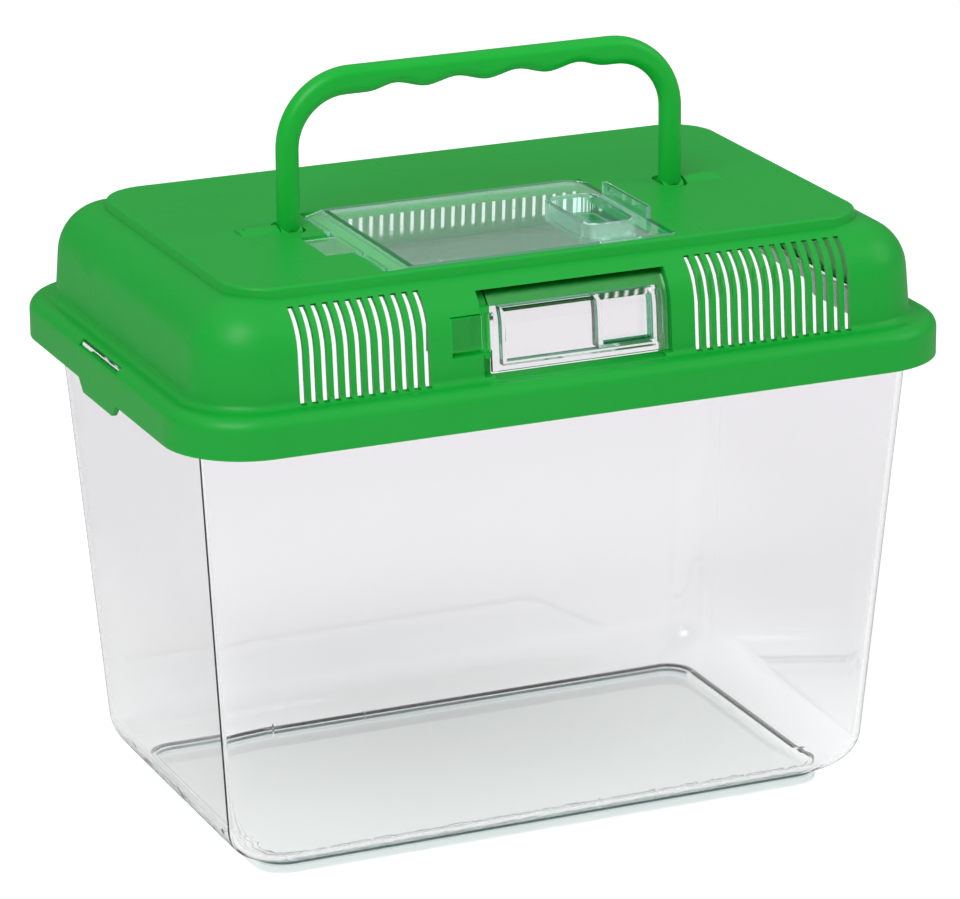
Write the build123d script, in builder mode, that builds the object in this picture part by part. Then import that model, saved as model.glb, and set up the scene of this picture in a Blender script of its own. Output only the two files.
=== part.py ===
"""Plastic pet keeper: a clear tank, a domed lid with air slots, a carry handle and two clear flaps.

X runs along the tank, -Y is the front and Z is up. The origin is the middle of the foot's underside.
Sizes are millimetres and degrees.
"""
from build123d import *
from math import cos, radians, sin, tan
import os

os.makedirs("parts", exist_ok=True)

# ---- driving dimensions -------------------------------------------------------------------------
# Tank
tank_length = 278.2  # outside, at the rim
tank_width = 177.5
tank_height = 184.0
tank_draft = 4.2
tank_wall = 2.2
tank_rim_corner = 16.1
tank_base_corner = 14.5
tank_bottom_round = 18.0
foot_end_inset = 25.4  # from the rim's outline to the foot's
foot_side_inset = 25.15
foot_corner = 12.0
foot_height = 4.0
floor_thickness = 2.2
rim_reach = 6.0  # how far the rim's flange stands out
rim_thickness = 2.2

# Lid shell
lid_end_gap = 2.9  # from the rim's flange to the inside of the skirt
lid_side_gap = 3.35
lid_corner = 30.5
lid_wall = 2.0
skirt_drop = 12.8  # below the top of the tank
skirt_round = 5.0
dome_setback = 9.2  # from the skirt's face to the foot of the dome
dome_foot_fillet = 3.0
dome_corner = 24.0
dome_draft = 4.5
dome_rise = 35.4  # from the skirt's top to the top of the dome
dome_round = 19.0
plateau_end_inset = 17.35  # from the foot of the dome to the plateau's edge
plateau_side_inset = 16.55
plateau_corner = 19.0
plateau_rise = 3.2
plateau_slope = 12.0
plateau_edge = 1.2
locating_rib = 10.0  # height of the ribs that centre the skirt on the tank's rim
rib_thickness = 1.6
rib_clearance = 0.4
rib_spacing_x = 200.0
rib_spacing_y = 110.0

# Air slots
slot_width = 2.2
slot_pitch = 4.28
slot_bottom = 0.4  # above the skirt's top
slot_height = 32.6
slot_inset_left = 35.0  # from the foot of the dome to the first slot at the front
slot_inset_right = 34.6
slot_inset_back = 35.5
slot_window_gap = 6.4  # from a slot to the walls of the window's recess and pocket

# End catches
catch_width = 40.0
catch_tip_width = 31.0
catch_drop = 4.7  # below the skirt's lower edge
catch_slit = 2.4
catch_slit_drop = 0.6  # from the skirt's top to the slit
catch_slit_reach = 3.5  # from the skirt's face inwards
barb_height = 4.0
barb_clearance = 0.3

# Carry handle
handle_span = 160.6  # over the outsides of the two legs
handle_top = 57.7  # above the plateau
handle_bar = 8.2
handle_round = 3.7
handle_bend = 29.0  # outside radius of the two bends
handle_y = -3.4
grip_depth = 2.3
grip_pitch = 24.1
grip_notches = 4
grip_centre = 2.0
pivot_depth = 3.3  # below the plateau's top
foot_radius = 4.6
pin_radius = 2.5
pin_reach = 5.6
running_clearance = 0.05
trough_length = 18.0
trough_depth = 9.0
trough_gap = 0.8  # on both sides of a leg
housing_wall = 2.3
housing_length = 12.5
saddle_radius = 12.0  # of the low swelling over each housing
saddle_rise = 1.2
saddle_root = 0.5
saddle_length = 15.0
saddle_edge = 1.2

# Top hatch and its recess
hatch_length = 114.0
hatch_width = 84.0
hatch_trough_gap = 4.3  # from the left trough to the recess
hatch_front_edge = 3.35  # from the plateau's front edge to the recess
hatch_recess = 2.6
hatch_ledge_left = 14.0
hatch_ledge_right = 2.5
hatch_ledge_side = 4.0
hatch_gap = 0.6
hatch_sheet = 1.6
hatch_proud = 0.6
hatch_strip = 7.2  # width of the sloping strip beside the hinge
hatch_corner = 9.0
hatch_axis_in = 1.4  # from the recess's left wall to the hinge axis
hatch_axis_up = 0.9  # above the recess's floor
barrel_radius = 1.2
barrel_clearance = 0.3
barrel_play = 0.5  # at each end of a barrel
trunnion_radius = 1.0
trunnion_reach = 1.7
trunnion_end_gap = 0.3
strip_gap = 0.8  # between the barrels and the sloping strip
strip_edge = 0.4
hatch_barrel = 19.0
hatch_barrel_end = 6.0  # from the recess's side wall to a barrel's outer end
hatch_tongue_width = 24.0
hatch_tongue_reach = 11.0
hatch_tongue_in = 40.0  # from the recess's front wall to the tongue's middle
well_gap = 1.0
well_past_axis = 1.5
hatch_well_depth = 8.4
hatch_scoop_length = 43.0
hatch_scoop_width = 22.0
hatch_scoop_depth = 7.0
hatch_scoop_in = 43.0
hatch_scoop_corner = 7.0
scoop_edge_gap = 1.0
hatch_lip_height = 4.6
hatch_lip_length = 38.5
hatch_lip_in = 40.3

# Front window and its recess
window_left = -37.2
window_right = 36.0
window_bottom = 1.4  # above the skirt's top
window_top = 31.0
window_recess = 4.0
window_open_left = -33.1
window_open_right = 33.0
window_open_bottom = 0.4
window_open_top = 24.6
window_gap = 0.6
window_sheet = 1.6
window_set_in = 2.1  # from the dome's face to the window's face
window_axis_in = 1.6  # from the recess's left wall to the hinge axis
window_eye_radius = 2.2
window_eye_height = 2.0
window_eye_gap = 0.3
window_tongue_reach = 12.5
window_pocket_bottom = 9.5
window_pocket_top = 24.0
window_pocket_depth = 18.0
pocket_past_axis = 0.8
window_rim_left = -28.6
window_rim_right = 31.0
window_rim_bottom = 3.5
window_rim_top = 23.9
window_rim_wall = 1.4
window_rim_depth = 3.3
window_scoop_left = 8.5
window_scoop_bottom = 5.2
window_scoop_top = 24.1
window_scoop_depth = 6.9
window_lip_reach = 1.8
window_lip_width = 1.8

# ---- places worked out from the driving dimensions ------------------------------------------------
skirt_top = tank_height + lid_wall
skirt_bottom = tank_height - skirt_drop
dome_top = skirt_top + dome_rise
plateau_top = dome_top + plateau_rise
foot_length = tank_length - 2 * foot_end_inset
foot_width = tank_width - 2 * foot_side_inset
lid_length = tank_length + 2 * (rim_reach + lid_end_gap + lid_wall)
lid_width = tank_width + 2 * (rim_reach + lid_side_gap + lid_wall)
dome_foot_x = lid_length / 2 - dome_setback
dome_foot_y = lid_width / 2 - dome_setback
plateau_length = 2 * (dome_foot_x - plateau_end_inset)
plateau_width = 2 * (dome_foot_y - plateau_side_inset)
overcut = 6.0  # how far cutting shapes run past what they cut
margin = 1.0  # how far a shape runs past a face that it only has to reach
seam = 0.1  # how far a rib runs into the wall that carries it
foot_seam = 1.5  # how far the foot runs up into the tank's round bottom
tolerance = 0.01


def tank_form(inset, top):
    """The tank's drafted form, set in by a wall: straight walls on a round bottom edge."""
    bottom = foot_height + inset
    radius = tank_bottom_round - inset
    slope = tan(radians(tank_draft))
    knee = bottom + radius * (1 - sin(radians(tank_draft)))

    def outline(height, wall_height):
        """Length, width and corner radius at a height, with the wall's plane read at another height."""
        turn_in = max(knee - height, 0) and radius * cos(radians(tank_draft)) - (
            radius**2 - (bottom + radius - height) ** 2
        ) ** 0.5
        loss = 2 * ((tank_height - wall_height) * slope + inset + turn_in)
        corner = tank_base_corner + (tank_rim_corner - tank_base_corner) * height / tank_height - inset
        return tank_length - loss, tank_width - loss, corner

    with BuildPart() as form:
        for height in (knee, top):
            with BuildSketch(Plane.XY.offset(height)):
                RectangleRounded(*outline(height, height))
        loft(ruled=True)
        for turn in (tank_draft, 20, 38, 56, 74, 90):
            height = bottom + radius * (1 - sin(radians(turn)))
            with BuildSketch(Plane.XY.offset(height)):
                RectangleRounded(*outline(height, knee))
        loft()
    return form.part


def dome_form(inset):
    """The dome's solid form, set in by a wall, from the tank's rim up to the dome's top."""
    slope = tan(radians(dome_draft))
    grow = lid_wall * slope - dome_setback - inset
    with BuildPart() as form:
        with BuildSketch(Plane.XY.offset(tank_height)):
            RectangleRounded(lid_length + 2 * grow, lid_width + 2 * grow, dome_corner - inset)
        extrude(amount=dome_top - inset - tank_height, taper=dome_draft)
        fillet(form.edges().group_by(Axis.Z)[-1], dome_round - inset)
    return form.part


def plateau_form(inset):
    """The raised plateau on the dome, with sloping sides, set in by a wall."""
    depth = 2 * plateau_rise
    grow = depth * tan(radians(plateau_slope)) - inset
    with BuildPart() as form:
        with BuildSketch(Plane.XY.offset(plateau_top - inset - depth)):
            RectangleRounded(plateau_length + 2 * grow, plateau_width + 2 * grow, plateau_corner - inset)
        extrude(amount=depth, taper=plateau_slope)
        fillet(form.edges().group_by(Axis.Z)[-1], plateau_edge)
    return form.part


def between(x_low, x_high, y_low, y_high, z_low, z_high):
    """A plain block between two corners, kept apart from the part being built."""
    block = Box(x_high - x_low, y_high - y_low, z_high - z_low, mode=Mode.PRIVATE)
    return Pos((x_low + x_high) / 2, (y_low + y_high) / 2, (z_low + z_high) / 2) * block


# ---- places of the hatch, the window and the handle's troughs ---------------------------------------
pivot_z = plateau_top - pivot_depth
trough_floor = plateau_top - trough_depth
trough_width = handle_bar + 2 * trough_gap
trough_wall_x = handle_span / 2 + trough_gap
trough_x = trough_wall_x - trough_width / 2

hatch_left = hatch_trough_gap + trough_width - trough_wall_x
hatch_right = hatch_left + hatch_length
hatch_front = hatch_front_edge - plateau_width / 2
hatch_back = hatch_front + hatch_width
hatch_tongue_y = hatch_front + hatch_tongue_in
hatch_scoop_y = hatch_front + hatch_scoop_in
hatch_lip_y = hatch_front + hatch_lip_in
hatch_floor = plateau_top - hatch_recess
pan_low = hatch_floor - lid_wall
well_floor = plateau_top - hatch_well_depth
hatch_axis_x = hatch_left + hatch_axis_in
hatch_axis_z = hatch_floor + hatch_axis_up
hatch_opening = (
    hatch_left + hatch_ledge_left,
    hatch_right - hatch_ledge_right,
    hatch_front + hatch_ledge_side,
    hatch_back - hatch_ledge_side,
)
hatch_barrels = (
    hatch_front + hatch_barrel_end + hatch_barrel / 2,
    hatch_back - hatch_barrel_end - hatch_barrel / 2,
)

window_axis_x = window_left + window_axis_in
window_back = dome_foot_y - dome_round - margin
pocket_left = window_axis_x - window_tongue_reach - well_gap


def pan_plan(wall):
    """Plan limits of the hatch's recess, with a wall around them."""
    return hatch_left - wall, hatch_right + wall, hatch_front - wall, hatch_back + wall


def well_plan(wall):
    """Plan limits of the well that the hatch's tongue dips into, with a wall around them."""
    reach = hatch_tongue_reach + well_gap + wall
    half = hatch_tongue_width / 2 + well_gap + wall
    right = hatch_axis_x + well_past_axis + wall
    return hatch_axis_x - reach, right, hatch_tongue_y - half, hatch_tongue_y + half


def window_frame(wall):
    """X and Z limits of the window's recess, with a wall around them."""
    low = skirt_top + window_bottom - wall
    high = skirt_top + window_top + wall
    return window_left - wall, window_right + wall, low, high


def window_block(wall):
    """Limits of a block as deep as the window's recess may go."""
    x_low, x_high, low, high = window_frame(wall)
    return x_low, x_high, -lid_width / 2, -window_back, low, high


def dome_slice(outer_inset, inner_inset, x_low, x_high, z_low, z_high):
    """A curved slice of the dome's front between two insets, within X and Z limits."""
    with BuildPart() as piece:
        add(dome_form(outer_inset))
        add(dome_form(inner_inset), mode=Mode.SUBTRACT)
        add(between(x_low, x_high, -lid_width / 2, -window_back, z_low, z_high), mode=Mode.INTERSECT)
    return piece.part


def pocket_block(wall):
    """The pocket that the window's tongue swings into: the space, or with a wall the block around it."""
    front = lid_width / 2 if wall == 0 else dome_foot_y - window_recess
    return between(
        pocket_left - wall,
        window_axis_x + pocket_past_axis + wall,
        -front,
        -(dome_foot_y - window_pocket_depth - wall),
        skirt_top + window_pocket_bottom - wall,
        skirt_top + window_pocket_top + wall,
    )


def window_axis(height):
    """A plane on the window's hinge axis at a height: the axis leans back with the dome's side."""
    lean = radians(dome_draft)
    inset = window_set_in + window_sheet / 2
    y = (height - skirt_top) * tan(lean) + inset / cos(lean) - dome_foot_y
    return Plane(origin=(window_axis_x, y, height), x_dir=(1, 0, 0), z_dir=(0, sin(lean), cos(lean)))


# ---- tank -----------------------------------------------------------------------------------------
with BuildPart() as tank:
    add(tank_form(0, tank_height))
    with BuildSketch():
        RectangleRounded(foot_length, foot_width, foot_corner)
    extrude(amount=foot_height + foot_seam)
    with BuildSketch(Plane.XY.offset(tank_height - rim_thickness)):
        RectangleRounded(
            tank_length + 2 * rim_reach, tank_width + 2 * rim_reach, tank_rim_corner + rim_reach
        )
    extrude(amount=rim_thickness)
    add(tank_form(tank_wall, tank_height + overcut), mode=Mode.SUBTRACT)
    with BuildSketch(Plane.XY.offset(floor_thickness)):
        RectangleRounded(foot_length - 2 * tank_wall, foot_width - 2 * tank_wall, foot_corner - tank_wall)
    extrude(amount=foot_height + tank_wall - floor_thickness + foot_seam, mode=Mode.SUBTRACT)

tank.part.label = "tank"
export_step(tank.part, "parts/tank.step")

# ---- lid: shell -----------------------------------------------------------------------------------
def at_dome_foot(edge):
    """Whether an edge lies where the dome meets the skirt's flat top."""
    middle = edge.center()
    inside = abs(middle.X) < dome_foot_x + margin and abs(middle.Y) < dome_foot_y + margin
    return inside and abs(middle.Z - skirt_top) < tolerance


def saddle_form(side):
    """The low swelling over the bearing beside a leg, with a soft outer end."""
    base = plateau_top - saddle_root
    half = (saddle_radius**2 - (saddle_radius - saddle_rise - saddle_root) ** 2) ** 0.5
    with BuildPart() as form:
        with BuildSketch(Plane.YZ.offset(side * trough_wall_x)):
            with BuildLine():
                crown = RadiusArc((handle_y - half, base), (handle_y + half, base), saddle_radius)
                Line(crown @ 1, crown @ 0)
            make_face()
        extrude(amount=side * saddle_length)
        ends = form.edges().filter_by(GeomType.CIRCLE).sort_by(lambda edge: side * edge.center().X)
        fillet(ends[-1], saddle_edge)
    return form.part


def slot_places(start, stop, y):
    """Middles of the air slots from one X towards another, a pitch apart."""
    step = slot_pitch if stop > start else -slot_pitch
    count = int((stop - start) / step) + 1
    return [(start + i * step, y, skirt_top + slot_bottom + slot_height / 2) for i in range(count)]


with BuildPart() as lid:
    with BuildSketch(Plane.XY.offset(skirt_bottom)):
        RectangleRounded(lid_length, lid_width, lid_corner)
    extrude(amount=skirt_top - skirt_bottom)
    fillet(lid.edges().group_by(Axis.Z)[-1], skirt_round)
    add(dome_form(0))
    fillet(lid.edges().filter_by(at_dome_foot), dome_foot_fillet)
    add(plateau_form(0))
    with BuildSketch(Plane.XY.offset(skirt_bottom)):
        RectangleRounded(lid_length - 2 * lid_wall, lid_width - 2 * lid_wall, lid_corner - lid_wall)
    extrude(amount=skirt_drop, mode=Mode.SUBTRACT)
    add(dome_form(lid_wall), mode=Mode.SUBTRACT)
    add(plateau_form(lid_wall), mode=Mode.SUBTRACT)

    # Short upright ribs inside the skirt centre it on the rim's flange.
    rib_length_x = lid_end_gap - rib_clearance
    rib_length_y = lid_side_gap - rib_clearance
    rib_middle = tank_height - locating_rib / 2 + seam
    for side in (-1, 1):
        rib_x = side * (lid_length / 2 - lid_wall - rib_length_x / 2 + seam)
        rib_y = side * (lid_width / 2 - lid_wall - rib_length_y / 2 + seam)
        with Locations((rib_x, -rib_spacing_y / 2, rib_middle), (rib_x, rib_spacing_y / 2, rib_middle)):
            Box(rib_length_x + 2 * seam, rib_thickness, locating_rib + 2 * seam)
        with Locations((-rib_spacing_x / 2, rib_y, rib_middle), (rib_spacing_x / 2, rib_y, rib_middle)):
            Box(rib_thickness, rib_length_y + 2 * seam, locating_rib + 2 * seam)

    # End catches: a tongue hangs below the skirt under a slit, with a barb beside the rim's flange.
    for side in (-1, 1):
        with BuildSketch(Plane.YZ.offset(side * (lid_length / 2 - lid_wall / 2))):
            with BuildLine():
                Polyline(
                    (-catch_width / 2, skirt_bottom + lid_wall),
                    (-catch_width / 2, skirt_bottom),
                    (-catch_tip_width / 2, skirt_bottom - catch_drop),
                    (catch_tip_width / 2, skirt_bottom - catch_drop),
                    (catch_width / 2, skirt_bottom),
                    (catch_width / 2, skirt_bottom + lid_wall),
                    close=True,
                )
            make_face()
        extrude(amount=lid_wall / 2, both=True)
        barb_tip = tank_length / 2 + rim_reach + barb_clearance
        barb_root = lid_length / 2 - lid_wall + seam
        barb_top = tank_height - rim_thickness - barb_clearance
        with BuildSketch(Plane.XZ):
            with BuildLine():
                Polyline(
                    (side * barb_root, barb_top),
                    (side * barb_tip, barb_top),
                    (side * barb_root, barb_top - barb_height),
                    close=True,
                )
            make_face()
        extrude(amount=catch_tip_width / 2, both=True)
        slit_z = skirt_top - catch_slit_drop - catch_slit / 2
        with Locations((side * lid_length / 2, 0, slit_z)):
            Box(2 * catch_slit_reach, catch_width, catch_slit, mode=Mode.SUBTRACT)

    # Air slots through the front and the back of the dome.
    slot_depth = dome_round - lid_wall
    slot_y = dome_foot_y - slot_depth / 2 + dome_foot_fillet + margin
    left_end = pocket_left - lid_wall - slot_window_gap
    right_end = window_right + lid_wall + slot_window_gap
    left_group = slot_places(slot_inset_left - dome_foot_x, left_end, -slot_y)
    right_group = slot_places(dome_foot_x - slot_inset_right, right_end, -slot_y)
    back_reach = (dome_foot_x - slot_inset_back) // (slot_pitch / 2) * slot_pitch / 2
    back_group = slot_places(-back_reach, back_reach + tolerance, slot_y)
    with Locations(*left_group, *right_group, *back_group):
        Box(slot_width, slot_depth, slot_height, mode=Mode.SUBTRACT)

    # Backing for the hatch's pan and tongue well, the handle's troughs and the window's pan and pocket.
    add(between(*pan_plan(lid_wall), pan_low, plateau_top - lid_wall / 2))
    add(between(*well_plan(lid_wall), well_floor - lid_wall, plateau_top - lid_wall / 2))
    for side in (-1, 1):
        with BuildSketch(Plane.XY.offset(trough_floor - lid_wall)):
            with Locations((side * trough_x, handle_y)):
                SlotOverall(trough_length + 2 * lid_wall, trough_width + 2 * lid_wall, rotation=90)
        extrude(amount=trough_depth + lid_wall / 2)
        with Locations((side * (trough_wall_x + housing_length / 2), handle_y, pivot_z)):
            Cylinder(pin_radius + housing_wall, housing_length, rotation=(0, 90, 0))
        add(saddle_form(side))
    add(dome_slice(0, window_recess + lid_wall, *window_frame(lid_wall)))
    add(pocket_block(lid_wall))

    # Hatch recess, its opening and the well for its tongue.
    add(between(*pan_plan(0), hatch_floor, plateau_top + overcut), mode=Mode.SUBTRACT)
    add(between(*hatch_opening, pan_low - margin, hatch_floor + margin), mode=Mode.SUBTRACT)
    add(between(*well_plan(0), well_floor, plateau_top + overcut), mode=Mode.SUBTRACT)
    for barrel_y in hatch_barrels:
        with Locations((hatch_axis_x, barrel_y, hatch_axis_z)):
            Cylinder(
                barrel_radius + barrel_clearance, hatch_barrel + 2 * barrel_play,
                rotation=(90, 0, 0), mode=Mode.SUBTRACT,
            )
    hole_length = hatch_width + 2 * (trunnion_reach + trunnion_end_gap)
    with Locations((hatch_axis_x, (hatch_back + hatch_front) / 2, hatch_axis_z)):
        Cylinder(
            trunnion_radius + running_clearance, hole_length, rotation=(90, 0, 0), mode=Mode.SUBTRACT
        )

    # Troughs that the handle's legs stand in, with a blind bearing hole in each outer wall.
    for side in (-1, 1):
        with BuildSketch(Plane.XY.offset(trough_floor)):
            with Locations((side * trough_x, handle_y)):
                SlotOverall(trough_length, trough_width, rotation=90)
        extrude(amount=trough_depth + overcut, mode=Mode.SUBTRACT)
        bearing_length = trough_gap + pin_reach
        with Locations((side * (trough_wall_x - margin + bearing_length / 2), handle_y, pivot_z)):
            Cylinder(
                pin_radius + running_clearance, bearing_length, rotation=(0, 90, 0), mode=Mode.SUBTRACT
            )

    # Window recess with its opening and the pocket for its tongue.
    with BuildPart(mode=Mode.PRIVATE) as recess:
        add(between(*window_block(0)))
        add(dome_form(window_recess), mode=Mode.SUBTRACT)
    add(recess.part, mode=Mode.SUBTRACT)
    add(pocket_block(0), mode=Mode.SUBTRACT)
    add(
        between(
            window_open_left, window_open_right, -lid_width / 2, -window_back + margin,
            skirt_top + window_open_bottom, skirt_top + window_open_top,
        ),
        mode=Mode.SUBTRACT,
    )
    for height in (window_pocket_bottom - window_eye_height, window_pocket_top):
        with Locations(window_axis(skirt_top + height)):
            Cylinder(window_eye_radius, window_eye_height, align=(Align.CENTER, Align.CENTER, Align.MIN))
    pin_run = window_pocket_top - window_pocket_bottom + 2 * window_eye_height
    with Locations(window_axis(skirt_top + window_pocket_bottom - window_eye_height)):
        Cylinder(
            trunnion_radius + running_clearance, pin_run,
            align=(Align.CENTER, Align.CENTER, Align.MIN), mode=Mode.SUBTRACT,
        )

lid.part.label = "lid"
export_step(lid.part, "parts/lid.step")

# ---- carry handle -----------------------------------------------------------------------------------
handle_x = handle_span / 2
crest = plateau_top + handle_top
ridge_z = crest - handle_bar - grip_depth
inner_bend = handle_bend - handle_bar - grip_depth
inner_x = handle_x - handle_bar
first_ridge = grip_centre - grip_notches * grip_pitch / 2
grip_points = [
    (first_ridge + i * grip_pitch / 2, ridge_z + (i % 2) * grip_depth) for i in range(2 * grip_notches + 1)
]

with BuildPart() as carry_handle:
    with BuildSketch(Plane.XZ.offset(-handle_y)):
        with BuildLine():
            Line((-handle_x, pivot_z), (-handle_x, crest - handle_bend))
            RadiusArc((-handle_x, crest - handle_bend), (handle_bend - handle_x, crest), handle_bend)
            Line((handle_bend - handle_x, crest), (handle_x - handle_bend, crest))
            RadiusArc((handle_x - handle_bend, crest), (handle_x, crest - handle_bend), handle_bend)
            Line((handle_x, crest - handle_bend), (handle_x, pivot_z))
            Line((handle_x, pivot_z), (inner_x, pivot_z))
            Line((inner_x, pivot_z), (inner_x, ridge_z - inner_bend))
            RadiusArc((inner_x, ridge_z - inner_bend), (inner_x - inner_bend, ridge_z), -inner_bend)
            Line((inner_x - inner_bend, ridge_z), grip_points[-1])
            Spline(*grip_points[::-1], tangents=[(-1, 0)] * len(grip_points))
            Line(grip_points[0], (inner_bend - inner_x, ridge_z))
            RadiusArc((inner_bend - inner_x, ridge_z), (-inner_x, ridge_z - inner_bend), -inner_bend)
            Line((-inner_x, ridge_z - inner_bend), (-inner_x, pivot_z))
            Line((-inner_x, pivot_z), (-handle_x, pivot_z))
        make_face()
    extrude(amount=handle_bar / 2, both=True)
    fillet(carry_handle.faces().filter_by(Axis.Y).edges(), handle_round)
    for side in (-1, 1):
        with Locations((side * (handle_x - handle_bar / 2), handle_y, pivot_z)):
            Cylinder(foot_radius, handle_bar, rotation=(0, 90, 0))
        with Locations((side * (handle_x + pin_reach / 2 - margin), handle_y, pivot_z)):
            Cylinder(pin_radius, pin_reach + 2 * margin, rotation=(0, 90, 0))

carry_handle.part.label = "carry_handle"
export_step(carry_handle.part, "parts/carry_handle.step")

# ---- top hatch --------------------------------------------------------------------------------------
hatch_top = plateau_top + hatch_proud
strip_low_x = hatch_axis_x + barrel_radius + strip_gap
strip_high_x = strip_low_x + hatch_strip
panel_right = hatch_right - hatch_gap
panel_front = hatch_front + hatch_gap
panel_back = hatch_back - hatch_gap
scoop_right = hatch_right - hatch_ledge_right - scoop_edge_gap
web_low = hatch_axis_z - hatch_sheet / 2
web_high = hatch_axis_z + hatch_sheet / 2

with BuildPart() as top_hatch:
    # A shallow tray with its rim on the recess's floor.
    with BuildSketch(Plane.XY.offset(hatch_floor)) as tray:
        with BuildLine():
            Polyline(
                (strip_high_x, panel_front),
                (panel_right, panel_front),
                (panel_right, panel_back),
                (strip_high_x, panel_back),
                close=True,
            )
        make_face()
        fillet(tray.vertices().group_by(Axis.X)[-1].sort_by(Axis.Y)[-1:], hatch_corner)
    extrude(amount=hatch_top - hatch_floor)
    with BuildSketch(Plane.XY.offset(hatch_floor)):
        add(tray.sketch)
        offset(amount=-hatch_sheet)
    extrude(amount=hatch_top - hatch_sheet - hatch_floor, mode=Mode.SUBTRACT)

    # The sloping strip, the webs and barrels of the hinge, and the tongue beyond it.
    with BuildSketch(Plane.XZ.offset(-panel_back)):
        with BuildLine():
            Polyline(
                (strip_high_x + hatch_sheet, hatch_top),
                (strip_high_x, hatch_top),
                (strip_low_x, hatch_axis_z + strip_edge),
                (strip_low_x, hatch_floor),
                (strip_high_x, hatch_top - hatch_sheet),
                (strip_high_x + hatch_sheet, hatch_top - hatch_sheet),
                close=True,
            )
        make_face()
    extrude(amount=panel_back - panel_front)
    for barrel_y in hatch_barrels:
        add(
            between(
                hatch_axis_x, strip_low_x + margin, barrel_y - hatch_barrel / 2, barrel_y + hatch_barrel / 2,
                web_low, web_high,
            )
        )
        with Locations((hatch_axis_x, barrel_y, hatch_axis_z)):
            Cylinder(barrel_radius, hatch_barrel, rotation=(90, 0, 0))
    pin_length = hatch_barrel_end + trunnion_reach + margin
    for wall_y, outward in ((hatch_front, -1), (hatch_back, 1)):
        with Locations((hatch_axis_x, wall_y + outward * (trunnion_reach - pin_length / 2), hatch_axis_z)):
            Cylinder(trunnion_radius, pin_length, rotation=(90, 0, 0))
    with BuildSketch(Plane.XY.offset(web_low)):
        with Locations(((hatch_axis_x - hatch_tongue_reach + strip_low_x + margin) / 2, hatch_tongue_y)):
            Rectangle(strip_low_x + margin - hatch_axis_x + hatch_tongue_reach, hatch_tongue_width)
    extrude(amount=hatch_sheet)

    # The finger scoop and the pull lip beside it.
    with BuildSketch(Plane.XY.offset(hatch_top - hatch_scoop_depth - hatch_sheet)):
        with Locations((scoop_right - hatch_scoop_width / 2, hatch_scoop_y)):
            RectangleRounded(hatch_scoop_width, hatch_scoop_length, hatch_scoop_corner)
    extrude(amount=hatch_scoop_depth + hatch_sheet)
    with BuildSketch(Plane.XY.offset(hatch_top - hatch_scoop_depth)):
        with Locations((scoop_right - hatch_scoop_width / 2, hatch_scoop_y)):
            RectangleRounded(
                hatch_scoop_width - 2 * hatch_sheet,
                hatch_scoop_length - 2 * hatch_sheet,
                hatch_scoop_corner - hatch_sheet,
            )
    extrude(amount=hatch_scoop_depth, mode=Mode.SUBTRACT)
    add(
        between(
            panel_right - hatch_sheet, panel_right, hatch_lip_y - hatch_lip_length / 2,
            hatch_lip_y + hatch_lip_length / 2, hatch_top - hatch_sheet, hatch_top + hatch_lip_height,
        )
    )

top_hatch.part.label = "top_hatch"
export_step(top_hatch.part, "parts/top_hatch.step")

# ---- front window -----------------------------------------------------------------------------------
window_inner = window_set_in + window_sheet
window_edge_x = window_axis_x + window_eye_radius + window_eye_gap
window_low = skirt_top + window_bottom + window_gap
window_high = skirt_top + window_top - window_gap
scoop_low = skirt_top + window_scoop_bottom
scoop_high = skirt_top + window_scoop_top
scoop_inner = window_set_in + window_scoop_depth
pocket_middle = skirt_top + (window_pocket_bottom + window_pocket_top) / 2
pocket_height = window_pocket_top - window_pocket_bottom

with BuildPart() as front_window:
    # The curved pane and the stiffening rim behind it.
    add(
        dome_slice(
            window_set_in, window_inner, window_edge_x, window_right - window_gap, window_low, window_high
        )
    )
    rim_frame = (
        window_rim_left, window_rim_right, skirt_top + window_rim_bottom, skirt_top + window_rim_top
    )
    with BuildPart(mode=Mode.PRIVATE) as rim:
        add(dome_slice(window_inner - 2 * seam, window_inner + window_rim_depth, *rim_frame))
        add(
            between(
                window_rim_left + window_rim_wall, window_rim_right - window_rim_wall,
                -lid_width / 2, -window_back,
                skirt_top + window_rim_bottom + window_rim_wall, skirt_top + window_rim_top - window_rim_wall,
            ),
            mode=Mode.SUBTRACT,
        )
    add(rim.part)

    # The finger scoop and the pull lip at its right end.
    add(dome_slice(window_set_in, scoop_inner, window_scoop_left, window_rim_right, scoop_low, scoop_high))
    add(
        dome_slice(
            window_set_in - window_lip_reach, window_inner,
            window_rim_right, window_rim_right + window_lip_width, scoop_low, scoop_high,
        )
    )
    add(
        dome_slice(
            0, scoop_inner - window_sheet, window_scoop_left + window_rim_wall,
            window_rim_right - window_rim_wall, scoop_low + window_rim_wall, scoop_high - window_rim_wall,
        ),
        mode=Mode.SUBTRACT,
    )

    # The hinge barrel with its two pins, its web and the tongue beyond it.
    with Locations(window_axis(pocket_middle)):
        Cylinder(barrel_radius, pocket_height - 2 * window_gap)
        Cylinder(trunnion_radius, pocket_height + 2 * trunnion_reach)
        Box(
            window_tongue_reach, window_sheet, pocket_height - 4 * window_gap,
            align=(Align.MAX, Align.CENTER, Align.CENTER),
        )
        Box(
            window_edge_x - window_axis_x + margin, window_sheet, pocket_height - 2 * window_gap,
            align=(Align.MIN, Align.CENTER, Align.CENTER),
        )

front_window.part.label = "front_window"
export_step(front_window.part, "parts/front_window.step")
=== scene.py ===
import bpy
from math import radians
from mathutils import Matrix, Vector

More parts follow.
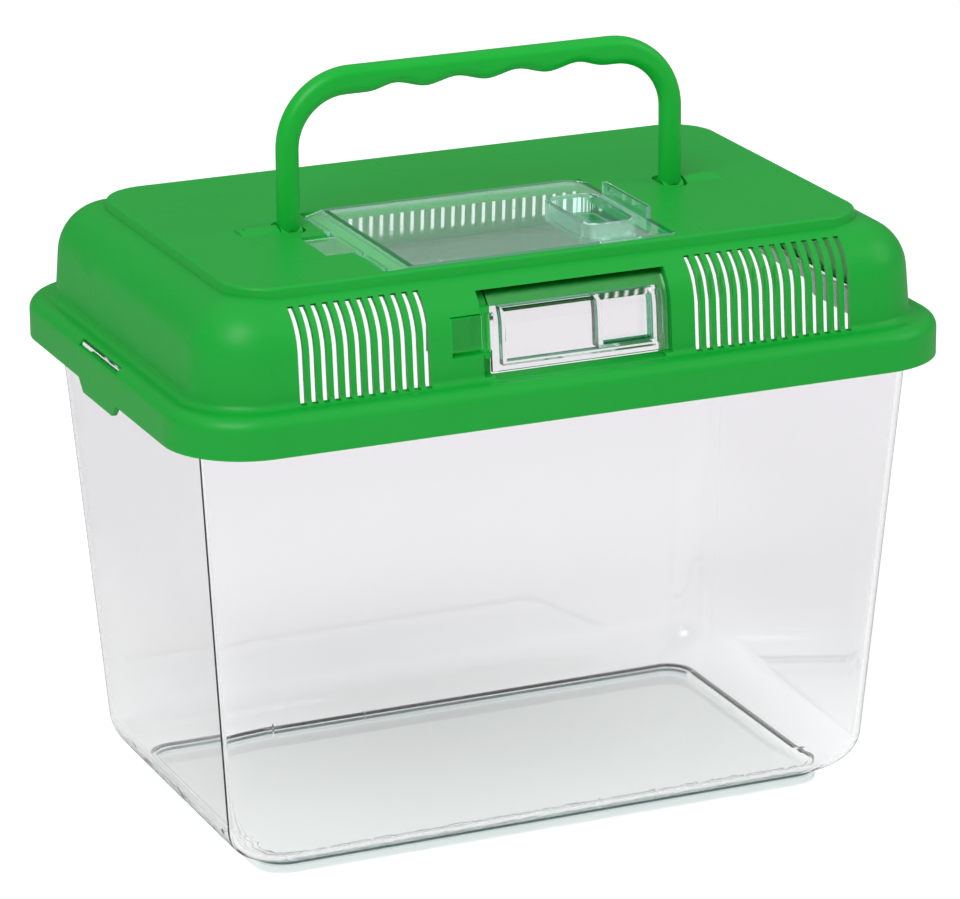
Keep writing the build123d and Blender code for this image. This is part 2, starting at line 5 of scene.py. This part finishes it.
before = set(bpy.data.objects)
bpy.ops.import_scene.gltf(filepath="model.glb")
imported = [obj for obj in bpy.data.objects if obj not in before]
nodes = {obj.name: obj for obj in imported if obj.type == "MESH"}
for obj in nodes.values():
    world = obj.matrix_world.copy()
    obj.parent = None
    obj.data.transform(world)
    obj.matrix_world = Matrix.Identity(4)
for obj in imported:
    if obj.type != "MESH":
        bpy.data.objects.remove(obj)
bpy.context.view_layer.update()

# ---- Tank ----------------------------------------------------------------------------------------
# A deep tub of clear polystyrene, injection moulded in one shot through its floor. The plastic is
# nearly colourless, turns grey-green where light runs along a wall, and has faint flow waves.


def node_group(name, inputs, outputs):
    """An empty shader node group with these sockets, its input node and its output node."""
    group = bpy.data.node_groups.new(name, "ShaderNodeTree")
    for socket, kind, value in inputs:
        made = group.interface.new_socket(name=socket, in_out="INPUT", socket_type=kind)
        made.default_value = value
    for socket, kind in outputs:
        group.interface.new_socket(name=socket, in_out="OUTPUT", socket_type=kind)
    source = group.nodes.new("NodeGroupInput")
    sink = group.nodes.new("NodeGroupOutput")
    return group, source, sink


def math_node(tree, operation, first, second):
    """A Math node in this tree, whose two inputs are sockets or plain numbers."""
    node = tree.nodes.new("ShaderNodeMath")
    node.operation = operation
    for place, value in enumerate((first, second)):
        if isinstance(value, (int, float)):
            node.inputs[place].default_value = value
        else:
            tree.links.new(value, node.inputs[place])
    return node.outputs["Value"]


def remap(tree, value, low, high, new_low, new_high):
    """A Map Range node that takes low..high to new_low..new_high, clamped."""
    node = tree.nodes.new("ShaderNodeMapRange")
    tree.links.new(value, node.inputs["Value"])
    for socket, number in zip(("From Min", "From Max", "To Min", "To Max"), (low, high, new_low, new_high)):
        node.inputs[socket].default_value = number
    return node.outputs["Result"]


def stretched_noise(tree, scale, stretch, detail):
    """Noise in the object's own metres, drawn out by stretch along X, Y and Z."""
    place = tree.nodes.new("ShaderNodeTexCoord")
    mapping = tree.nodes.new("ShaderNodeMapping")
    mapping.inputs["Scale"].default_value = stretch
    noise = tree.nodes.new("ShaderNodeTexNoise")
    noise.inputs["Detail"].default_value = detail
    tree.links.new(place.outputs["Object"], mapping.inputs["Vector"])
    tree.links.new(mapping.outputs["Vector"], noise.inputs["Vector"])
    if isinstance(scale, (int, float)):
        noise.inputs["Scale"].default_value = scale
    else:
        tree.links.new(scale, noise.inputs["Scale"])
    return noise.outputs["Fac"]


# Slow waves that the melt leaves as it fills the mould, as a height and as a cloudy mask.
flow_waves, given, result = node_group(
    "flow_waves",
    [("Scale", "NodeSocketFloat", 14.0), ("Depth", "NodeSocketFloat", 1.0)],
    [("Height", "NodeSocketFloat"), ("Cloud", "NodeSocketFloat")])
slow_wave = stretched_noise(flow_waves, given.outputs["Scale"], (1.0, 1.0, 0.45), 1.0)
scaled_wave = math_node(flow_waves, "MULTIPLY", slow_wave, given.outputs["Depth"])
flow_waves.links.new(scaled_wave, result.inputs["Height"])
flow_waves.links.new(remap(flow_waves, slow_wave, 0.38, 0.66, 0.0, 1.0), result.inputs["Cloud"])

# Hairline scuffs from handling, in two crossing directions.
hair_scuffs, given, result = node_group(
    "hair_scuffs",
    [("Scale", "NodeSocketFloat", 60.0), ("Amount", "NodeSocketFloat", 1.0)],
    [("Mask", "NodeSocketFloat")])
along_noise = stretched_noise(hair_scuffs, given.outputs["Scale"], (0.6, 9.0, 7.0), 2.0)
across_noise = stretched_noise(hair_scuffs, given.outputs["Scale"], (8.0, 0.8, 1.1), 2.0)
along_scuff = remap(hair_scuffs, along_noise, 0.66, 0.74, 0.0, 1.0)
across_scuff = remap(hair_scuffs, across_noise, 0.67, 0.75, 0.0, 1.0)
both_scuffs = math_node(hair_scuffs, "MAXIMUM", along_scuff, across_scuff)
faded_scuffs = math_node(hair_scuffs, "MULTIPLY", both_scuffs, given.outputs["Amount"])
hair_scuffs.links.new(faded_scuffs, result.inputs["Mask"])


def placed_group(tree, group, **values):
    """This node group placed in a material's tree, with its own values."""
    node = tree.nodes.new("ShaderNodeGroup")
    node.node_tree = group
    for socket, value in values.items():
        node.inputs[socket].default_value = value
    return node


polystyrene_ior = 1.57
wave_scale = 14.0
wave_height = 0.0004
wave_strength = 0.3
clear_scuff_scale = 55.0
polished_roughness = 0.015
cloudy_roughness = 0.035
absorption_colour = (0.52, 0.70, 0.64)
absorption_density = 7.0
shadow_tint = (0.95, 0.96, 0.96)


def clear_plastic(name, tint, wave_depth, scuffs):
    """Clear polystyrene: it bends and tints light, and lets lamps through to what stands behind it."""
    material = bpy.data.materials.new(name)
    material.use_nodes = True
    tree = material.node_tree
    shader = tree.nodes["Principled BSDF"]
    output = tree.nodes["Material Output"]
    shader.inputs["Base Color"].default_value = (*tint, 1.0)
    shader.inputs["Transmission Weight"].default_value = 1.0
    shader.inputs["IOR"].default_value = polystyrene_ior
    waves = placed_group(tree, flow_waves, Scale=wave_scale, Depth=wave_depth)
    marks = placed_group(tree, hair_scuffs, Scale=clear_scuff_scale, Amount=scuffs)
    clouds = remap(tree, waves.outputs["Cloud"], 0.0, 1.0, polished_roughness, cloudy_roughness)
    tree.links.new(math_node(tree, "ADD", clouds, marks.outputs["Mask"]), shader.inputs["Roughness"])
    bump = tree.nodes.new("ShaderNodeBump")
    bump.inputs["Strength"].default_value = wave_strength
    bump.inputs["Distance"].default_value = wave_height
    tree.links.new(waves.outputs["Height"], bump.inputs["Height"])
    tree.links.new(bump.outputs["Normal"], shader.inputs["Normal"])
    body = tree.nodes.new("ShaderNodeVolumeAbsorption")
    body.inputs["Color"].default_value = (*absorption_colour, 1.0)
    body.inputs["Density"].default_value = absorption_density
    tree.links.new(body.outputs["Volume"], output.inputs["Volume"])
    lamp_ray = tree.nodes.new("ShaderNodeLightPath")
    lets_through = tree.nodes.new("ShaderNodeBsdfTransparent")
    lets_through.inputs["Color"].default_value = (*shadow_tint, 1.0)
    choice = tree.nodes.new("ShaderNodeMixShader")
    tree.links.new(lamp_ray.outputs["Is Shadow Ray"], choice.inputs["Fac"])
    tree.links.new(shader.outputs["BSDF"], choice.inputs[1])
    tree.links.new(lets_through.outputs["BSDF"], choice.inputs[2])
    tree.links.new(choice.outputs["Shader"], output.inputs["Surface"])
    return material


def finish_node(node, material):
    """Gives a construction piece its one material."""
    piece = nodes[node]
    piece.data.materials.clear()
    piece.data.materials.append(material)


def own_axis(tree, output, axis):
    """One part of the place or the normal in the piece's own directions."""
    place = tree.nodes.new("ShaderNodeTexCoord")
    split = tree.nodes.new("ShaderNodeSeparateXYZ")
    tree.links.new(place.outputs[output], split.inputs["Vector"])
    return split.outputs[axis]


def between_levels(tree, value, low, high, soft):
    """1 where a value lies between two levels, falling to 0 over a soft step outside them."""
    rise = remap(tree, value, low - soft, low, 0.0, 1.0)
    fall = remap(tree, value, high, high + soft, 1.0, 0.0)
    return math_node(tree, "MULTIPLY", rise, fall)


def tinted(tree, socket, layers):
    """Feeds a colour socket with its present colour, covered by each layer's colour where its mask is 1."""
    shade = None
    for colour, mask in layers:
        blend = tree.nodes.new("ShaderNodeMix")
        blend.data_type = "RGBA"
        blend.inputs["A"].default_value = socket.default_value
        if shade is not None:
            tree.links.new(shade, blend.inputs["A"])
        blend.inputs["B"].default_value = (*colour, 1.0)
        tree.links.new(mask, blend.inputs["Factor"])
        shade = blend.outputs["Result"]
    tree.links.new(shade, socket)


# The walls are a little greyer than the bottom, which is painted lighter, as is the foot: painted
# light. The front of the foot is painted a darker teal and the crease where it meets the tub
# is painted dark: painted shade for the light that leaves the plastic there only sideways.
wall_tint = (0.852, 0.842, 0.857)
# painted light: the bottom of the tub is lighter than its walls
bottom_painted_light = (0.965, 0.960, 0.967)
# painted light: the foot ring is lighter, with a teal hint
foot_painted_light = (0.970, 0.985, 0.975)
# painted shade: the front face of the foot is darker teal
foot_front_painted_shade = (0.740, 0.800, 0.795)
# painted shade: a dark line where the foot meets the tub
crease_painted_shade = (0.030, 0.050, 0.050)
bottom_height = 0.030
bottom_fade = 0.070
foot_height = 0.0041
crease_low = 0.0036
crease_high = 0.0042
foot_blur = 0.0002
tank_plastic = clear_plastic("clear_tank_wall", wall_tint, wave_depth=0.2, scuffs=0.05)
tree = tank_plastic.node_tree
shader = tree.nodes["Principled BSDF"]
height = own_axis(tree, "Object", "Z")
in_bottom = between_levels(tree, height, 0.0, bottom_height, bottom_fade)
in_foot = between_levels(tree, height, 0.0, foot_height, foot_blur)
in_crease = between_levels(tree, height, crease_low, crease_high, foot_blur)
upright = between_levels(tree, own_axis(tree, "Normal", "Z"), -0.5, 0.5, 0.2)
to_front = between_levels(tree, own_axis(tree, "Normal", "Y"), -1.0, -0.3, 0.1)
front_side = math_node(tree, "MULTIPLY", upright, to_front)
# These layers paint light and shade into the tank's colour: a lighter bottom and foot, a darker teal front
# of the foot and a dark crease line.
tinted(tree, shader.inputs["Base Color"], (
    (bottom_painted_light, in_bottom),
    (foot_painted_light, in_foot),
    (foot_front_painted_shade, math_node(tree, "MULTIPLY", in_foot, front_side)),
    (crease_painted_shade, math_node(tree, "MULTIPLY", in_crease, front_side))))
finish_node("tank", tank_plastic)

# ---- Lid -----------------------------------------------------------------------------------------
# A domed shell of green polypropylene, moulded with its air slots, hinge seats, finger wells and
# the two end catches. Its skin is satin, with a fine spark grain and softly scuffed high spots.

# Fine grain of an eroded mould, with a slow change of shade where the shell is thicker.
spark_grain, given, result = node_group(
    "spark_grain",
    [("Scale", "NodeSocketFloat", 900.0), ("Patch Scale", "NodeSocketFloat", 9.0)],
    [("Height", "NodeSocketFloat"), ("Patch", "NodeSocketFloat")])
even = (1.0, 1.0, 1.0)
grain_noise = stretched_noise(spark_grain, given.outputs["Scale"], even, 3.0)
patch_noise = stretched_noise(spark_grain, given.outputs["Patch Scale"], even, 2.0)
spark_grain.links.new(grain_noise, result.inputs["Height"])
spark_grain.links.new(remap(spark_grain, patch_noise, 0.35, 0.65, 0.0, 1.0), result.inputs["Patch"])

polypropylene_ior = 1.49
polypropylene_specular = 0.35
patch_roughness = 0.06
grain_scale = 900.0
grain_height = 0.0001
grain_strength = 0.12
green_scuff_scale = 45.0
green_scuffs = 0.12
glow_weight = 0.12
glow_depth = 0.003
glow_spread = (0.3, 1.0, 0.4)


def green_plastic(name, shade, deep_shade, gloss):
    """Satin green polypropylene, a little see-through where it is thin."""
    material = bpy.data.materials.new(name)
    material.use_nodes = True
    tree = material.node_tree
    shader = tree.nodes["Principled BSDF"]
    grain = placed_group(tree, spark_grain, Scale=grain_scale)
    marks = placed_group(tree, hair_scuffs, Scale=green_scuff_scale, Amount=green_scuffs)
    colour = tree.nodes.new("ShaderNodeMix")
    colour.data_type = "RGBA"
    colour.inputs["A"].default_value = (*deep_shade, 1.0)
    colour.inputs["B"].default_value = (*shade, 1.0)
    tree.links.new(grain.outputs["Patch"], colour.inputs["Factor"])
    tree.links.new(colour.outputs["Result"], shader.inputs["Base Color"])
    patches = remap(tree, grain.outputs["Patch"], 0.0, 1.0, gloss, gloss + patch_roughness)
    tree.links.new(math_node(tree, "ADD", patches, marks.outputs["Mask"]), shader.inputs["Roughness"])
    shader.inputs["IOR"].default_value = polypropylene_ior
    shader.inputs["Specular IOR Level"].default_value = polypropylene_specular
    shader.inputs["Subsurface Weight"].default_value = glow_weight
    shader.inputs["Subsurface Radius"].default_value = glow_spread
    shader.inputs["Subsurface Scale"].default_value = glow_depth
    bump = tree.nodes.new("ShaderNodeBump")
    bump.inputs["Strength"].default_value = grain_strength
    bump.inputs["Distance"].default_value = grain_height
    tree.links.new(grain.outputs["Height"], bump.inputs["Height"])
    tree.links.new(bump.outputs["Normal"], shader.inputs["Normal"])
    return material


lid_green = (0.006, 0.400, 0.040)
lid_deep_green = (0.004, 0.380, 0.034)
lid_gloss = 0.36
finish_node("lid", green_plastic("green_lid_shell", lid_green, lid_deep_green, lid_gloss))

# ---- Top hatch -----------------------------------------------------------------------------------
# A clear flap with sloping edges that snaps into two bearings at its left end and covers the
# feeding opening. It is thinner and brighter than the tank. Its edges are painted a darker teal
# with a faint painted glow, its front lip has a painted highlight, and the whole flap a faint painted green
# glow.
hatch_tint = (0.86, 0.97, 0.92)
hatch_edge_painted_shade = (0.50, 0.74, 0.66)
# painted light: the flap glows faintly green, its edges glow and its front lip carries a painted highlight
hatch_painted_glow = (0.0, 0.035, 0.014)
hatch_edge_painted_glow = (0.010, 0.030, 0.022)
hatch_lip_painted_highlight = (0.120, 0.160, 0.150)
hatch_plastic = clear_plastic("clear_hatch", hatch_tint, wave_depth=0.5, scuffs=0.04)
tree = hatch_plastic.node_tree
shader = tree.nodes["Principled BSDF"]
on_edges = between_levels(tree, own_axis(tree, "Normal", "Z"), -0.55, 0.55, 0.2)
on_front = between_levels(tree, own_axis(tree, "Normal", "Y"), -1.0, -0.8, 0.2)
# painted shade: the edges are painted a darker teal
tinted(tree, shader.inputs["Base Color"], ((hatch_edge_painted_shade, on_edges),))
# Painted light: a faint green glow over the flap, a glow on its edges and a painted highlight on its front
# lip.
shader.inputs["Emission Color"].default_value = (*hatch_painted_glow, 1.0)
tinted(tree, shader.inputs["Emission Color"], ((hatch_edge_painted_glow, on_edges), (hatch_lip_painted_highlight, on_front)))
shader.inputs["Emission Strength"].default_value = 1.0
finish_node("top_hatch", hatch_plastic)

# ---- Front window --------------------------------------------------------------------------------
# A small clear flap in the front of the dome, hung at its left end with a tongue in a pocket and a
# finger scoop at its right end. Its rims and the tongue are painted green, standing in for the lid's
# green seen in and through them, and the tongue has a faint painted glow.
window_tint = (0.830, 0.815, 0.830)
window_edge_painted_green = (0.06, 0.36, 0.20)
tongue_painted_green = (0.08, 0.55, 0.17)
tongue_painted_glow = (0.0, 0.11, 0.012)
tongue_left = -0.070
tongue_right = -0.0337
tongue_blur = 0.0005
window_plastic = clear_plastic("clear_window", window_tint, wave_depth=0.3, scuffs=0.04)
tree = window_plastic.node_tree
shader = tree.nodes["Principled BSDF"]
on_edges = between_levels(tree, own_axis(tree, "Normal", "Y"), -0.5, 0.5, 0.2)
on_tongue = between_levels(tree, own_axis(tree, "Object", "X"), tongue_left, tongue_right, tongue_blur)
# painted reflection: the rims and the tongue are painted green
tinted(tree, shader.inputs["Base Color"], ((window_edge_painted_green, on_edges), (tongue_painted_green, on_tongue)))
shader.inputs["Emission Color"].default_value = (0.0, 0.0, 0.0, 1.0)
# painted light: the tongue glows faintly green
tinted(tree, shader.inputs["Emission Color"], ((tongue_painted_glow, on_tongue),))
shader.inputs["Emission Strength"].default_value = 1.0
finish_node("front_window", window_plastic)

# ---- Carry handle --------------------------------------------------------------------------------
# A bail of the lid's green plastic with four finger notches, moulded in one piece. The pins at the
# feet of its legs are sprung into blind holes in the plateau, and it tips on them.
# The handle's greens are painted a little lighter than the lid's: painted light on the same plastic.
handle_green_painted_lighter = (0.003, 0.450, 0.036)
handle_deep_green_painted_lighter = (0.002, 0.435, 0.033)
handle_gloss = 0.32
finish_node("carry_handle", green_plastic("green_handle", handle_green_painted_lighter, handle_deep_green_painted_lighter, handle_gloss))

# ---- Floor and background ------------------------------------------------------------------------
# A wide plain sheet of matt white, which runs out of sight behind the object. It glows where it is
# looked at, so that it stays white and still takes the object's shadow, and is dim in reflections.
floor_size = 14.0
floor_rise = 0.0001
floor_roughness = 0.9
floor_white = 0.86
floor_in_reflections = 0.42
near_distance = 0.3
near_glow = 0.36
far_distance = 3.0
far_glow = 0.50
bpy.ops.mesh.primitive_plane_add(size=floor_size, location=(0.0, 0.0, floor_rise))
floor = bpy.context.object
floor.name = "floor"
floor_material = bpy.data.materials.new("white_floor")
floor_material.use_nodes = True
tree = floor_material.node_tree
shader = tree.nodes["Principled BSDF"]
shader.inputs["Roughness"].default_value = floor_roughness
shader.inputs["Specular IOR Level"].default_value = 0.0
shader.inputs["Emission Color"].default_value = (1.0, 1.0, 1.0, 1.0)
path = tree.nodes.new("ShaderNodeLightPath")
through_glass = path.outputs["Is Transmission Ray"]
seen = math_node(tree, "MAXIMUM", path.outputs["Is Camera Ray"], through_glass)
place = tree.nodes.new("ShaderNodeTexCoord")
distance = tree.nodes.new("ShaderNodeVectorMath")
distance.operation = "LENGTH"
tree.links.new(place.outputs["Object"], distance.inputs[0])
glow = remap(tree, distance.outputs["Value"], near_distance, far_distance, near_glow, far_glow)
tree.links.new(math_node(tree, "MULTIPLY", seen, glow), shader.inputs["Emission Strength"])
only_glossy = math_node(tree, "SUBTRACT", path.outputs["Is Glossy Ray"], through_glass)
sheet = tree.nodes.new("ShaderNodeMix")
sheet.data_type = "RGBA"
sheet.inputs["A"].default_value = (floor_white, floor_white, floor_white, 1.0)
sheet.inputs["B"].default_value = (floor_in_reflections, floor_in_reflections, floor_in_reflections, 1.0)
tree.links.new(math_node(tree, "GREATER_THAN", only_glossy, 0.5), sheet.inputs["Factor"])
tree.links.new(sheet.outputs["Result"], shader.inputs["Base Color"])
floor.data.materials.append(floor_material)

# The air around: white where it is looked at or looked through, dim near the horizon for gloss, as
# the far walls of a studio are, and an even half light for everything matt.
ambient_low = 0.48
ambient_high = 0.78
horizon_gloss = 0.16
zenith_gloss = 0.5
horizon_glass = 1.0
zenith_glass = 0.6
world = bpy.data.worlds.new("studio")
bpy.context.scene.world = world
world.use_nodes = True
tree = world.node_tree
backdrop = tree.nodes["Background"]
backdrop.inputs["Color"].default_value = (1.0, 1.0, 1.0, 1.0)
height = own_axis(tree, "Generated", "Z")
ambient_level = remap(tree, height, 0.0, 1.0, ambient_low, ambient_high)
gloss_level = remap(tree, height, 0.2, 0.95, horizon_gloss, zenith_gloss)
glass_level = remap(tree, height, 0.15, 0.6, horizon_glass, zenith_glass)
path = tree.nodes.new("ShaderNodeLightPath")


def choose(tree, factor, low, high):
    """A float Mix node between two values, which are sockets or plain numbers."""
    node = tree.nodes.new("ShaderNodeMix")
    node.data_type = "FLOAT"
    tree.links.new(factor, node.inputs["Factor"])
    for socket, value in (("A", low), ("B", high)):
        if isinstance(value, (int, float)):
            node.inputs[socket].default_value = value
        else:
            tree.links.new(value, node.inputs[socket])
    return node.outputs["Result"]


level = choose(tree, path.outputs["Is Glossy Ray"], ambient_level, gloss_level)
level = choose(tree, path.outputs["Is Transmission Ray"], level, glass_level)
level = choose(tree, path.outputs["Is Camera Ray"], level, 1.0)
tree.links.new(level, backdrop.inputs["Strength"])

# ---- Lamps ---------------------------------------------------------------------------------------
# Two square soft boxes on stands: a large one high on the left and a weaker one on the right, both
# turned to the middle of the tank.
lamp_aim = Vector((0.0, 0.0, 0.12))
for name, place, width, watts in (("key_box", (-1.5, -1.5, 2.5), 1.8, 41.0),
                                  ("fill_box", (1.9, -1.0, 1.5), 1.4, 9.0)):
    lamp_data = bpy.data.lights.new(name, "AREA")
    lamp_data.size = width
    lamp_data.energy = watts
    lamp = bpy.data.objects.new(name, lamp_data)
    lamp.location = place
    lamp.rotation_euler = (lamp_aim - Vector(place)).to_track_quat("-Z", "Y").to_euler()
    bpy.context.scene.collection.objects.link(lamp)

# ---- Camera --------------------------------------------------------------------------------------
# It stands about two metres off, a little above the lid on the front left, with a long lens. It
# looks at a point near the middle of the object.
view_azimuth = radians(-23.40)
view_elevation = radians(18.11)
view_roll = radians(-0.46)
view_distance = 1.92019
aim_right = 0.00332
aim_height = 0.12862
lens_mm = 192.85
frame_shift = -0.00964
turn = Matrix.Rotation(view_azimuth, 4, "Z") @ Matrix.Rotation(radians(90.0) - view_elevation, 4, "X")
aim = turn @ Vector((aim_right, 0.0, 0.0)) + Vector((0.0, 0.0, aim_height))
camera_data = bpy.data.cameras.new("camera")
camera_data.lens = lens_mm
camera_data.shift_x = frame_shift
camera = bpy.data.objects.new("camera", camera_data)
camera.matrix_world = (Matrix.Translation(aim + turn @ Vector((0.0, 0.0, view_distance))) @ turn
                       @ Matrix.Rotation(view_roll, 4, "Z"))
bpy.context.scene.collection.objects.link(camera)
bpy.context.scene.camera = camera
bpy.context.scene.view_settings.view_transform = "Standard"
